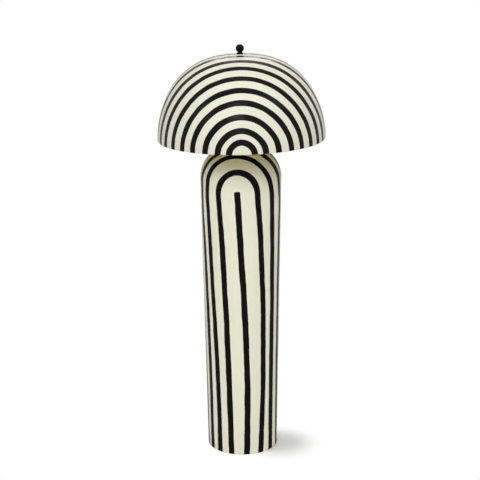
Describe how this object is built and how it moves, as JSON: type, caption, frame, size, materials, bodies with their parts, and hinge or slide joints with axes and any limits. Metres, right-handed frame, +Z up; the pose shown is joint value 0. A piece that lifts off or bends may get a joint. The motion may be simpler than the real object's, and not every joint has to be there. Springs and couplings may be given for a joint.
{
  "type": "mushroom floor lamp",
  "caption": "Floor lamp with a hollow tapered column, rounded at the shoulder, and a domed shade held above it on a wire harp and topped by a ball finial.",
  "frame": {"origin": "on the floor at the centre of the base", "axes": "+Z up along the lamp's axis; -Y is the front, and the cord inlet is at the back, at +Y"},
  "size_m": [0.508, 0.508, 1.2793],
  "materials": {
    "painted_paper": "painted ivory with black brushed lines",
    "shade_paper": "painted ivory with black brushed rings, pale inside",
    "felt": "black felt",
    "plywood": "raw",
    "iron": "rough cast",
    "steel": "zinc plated",
    "black_steel": "satin black",
    "rubber": "matt",
    "brass": "satin",
    "contact_brass": "bright",
    "liner_paper": "pressed paper",
    "moulded_black": "moulded",
    "bulb_aluminium": "bright",
    "bulb_white": "moulded",
    "bulb_frosted": "frosted",
    "bulb_glass": "black glass",
    "finial_black": "gloss black"
  },
  "bodies": {
    "column": {"body_shell": "painted_paper", "base_pad": "felt", "base_board": "plywood", "ballast_disc": "iron", "ballast_screws": "steel", "cord_grommet": "rubber", "crown_washer": "steel", "inner_nut": "steel", "nipple": "steel", "crown_cap": "brass", "neck_spacer": "brass", "harp_saddle": "brass", "lock_washer": "steel", "socket_cap": "brass", "set_screw": "steel", "socket_shell": "brass", "socket_liner": "liner_paper", "socket_body": "moulded_black", "terminal_screws": "contact_brass", "socket_screw_shell": "contact_brass", "socket_contact": "contact_brass"},
    "switch": {"switch_shaft": "steel", "switch_knob": "moulded_black"},
    "bulb": {"bulb_contact": "contact_brass", "bulb_insulator": "bulb_glass", "bulb_cap": "bulb_aluminium", "bulb_housing": "bulb_white", "bulb_led_board": "bulb_aluminium", "bulb_globe": "bulb_frosted"},
    "harp": {"harp_wire": "brass"},
    "left_ferrule": {"ferrule_left": "brass"},
    "right_ferrule": {"ferrule_right": "brass"},
    "swivel": {"swivel_stud": "brass"},
    "shade": {"shade_dome": "shade_paper", "fitter_plate": "black_steel"},
    "finial": {"finial_knob": "finial_black", "finial_insert": "contact_brass"}
  },
  "joints": [
    {"name": "switch_turn", "type": "hinge", "parent": "column", "child": "switch", "pos_m": [0, -0.0206, 1.0159], "axis": [0, -1, 0], "continuous": true},
    {"name": "bulb_unscrew", "type": "slide", "parent": "column", "child": "bulb", "axis": [0, 0, 1], "range_m": [0, 0.028]},
    {"name": "harp_lift", "type": "slide", "parent": "column", "child": "harp", "axis": [0, 0, 1], "range_m": [0, 0.012]},
    {"name": "ferrule_left_lift", "type": "slide", "parent": "harp", "child": "left_ferrule", "axis": [0, 0, 1], "range_m": [0, 0.013]},
    {"name": "ferrule_right_lift", "type": "slide", "parent": "harp", "child": "right_ferrule", "axis": [0, 0, 1], "range_m": [0, 0.013]},
    {"name": "shade_swivel", "type": "hinge", "parent": "harp", "child": "swivel", "pos_m": [0, 0, 1.2394], "axis": [0, 0, 1], "continuous": true},
    {"name": "shade_lift", "type": "slide", "parent": "swivel", "child": "shade", "axis": [0, 0, 1], "range_m": [0, 0.28]},
    {"name": "finial_unscrew", "type": "slide", "parent": "shade", "child": "finial", "axis": [0, 0, 1], "range_m": [0, 0.03]}
  ]
}
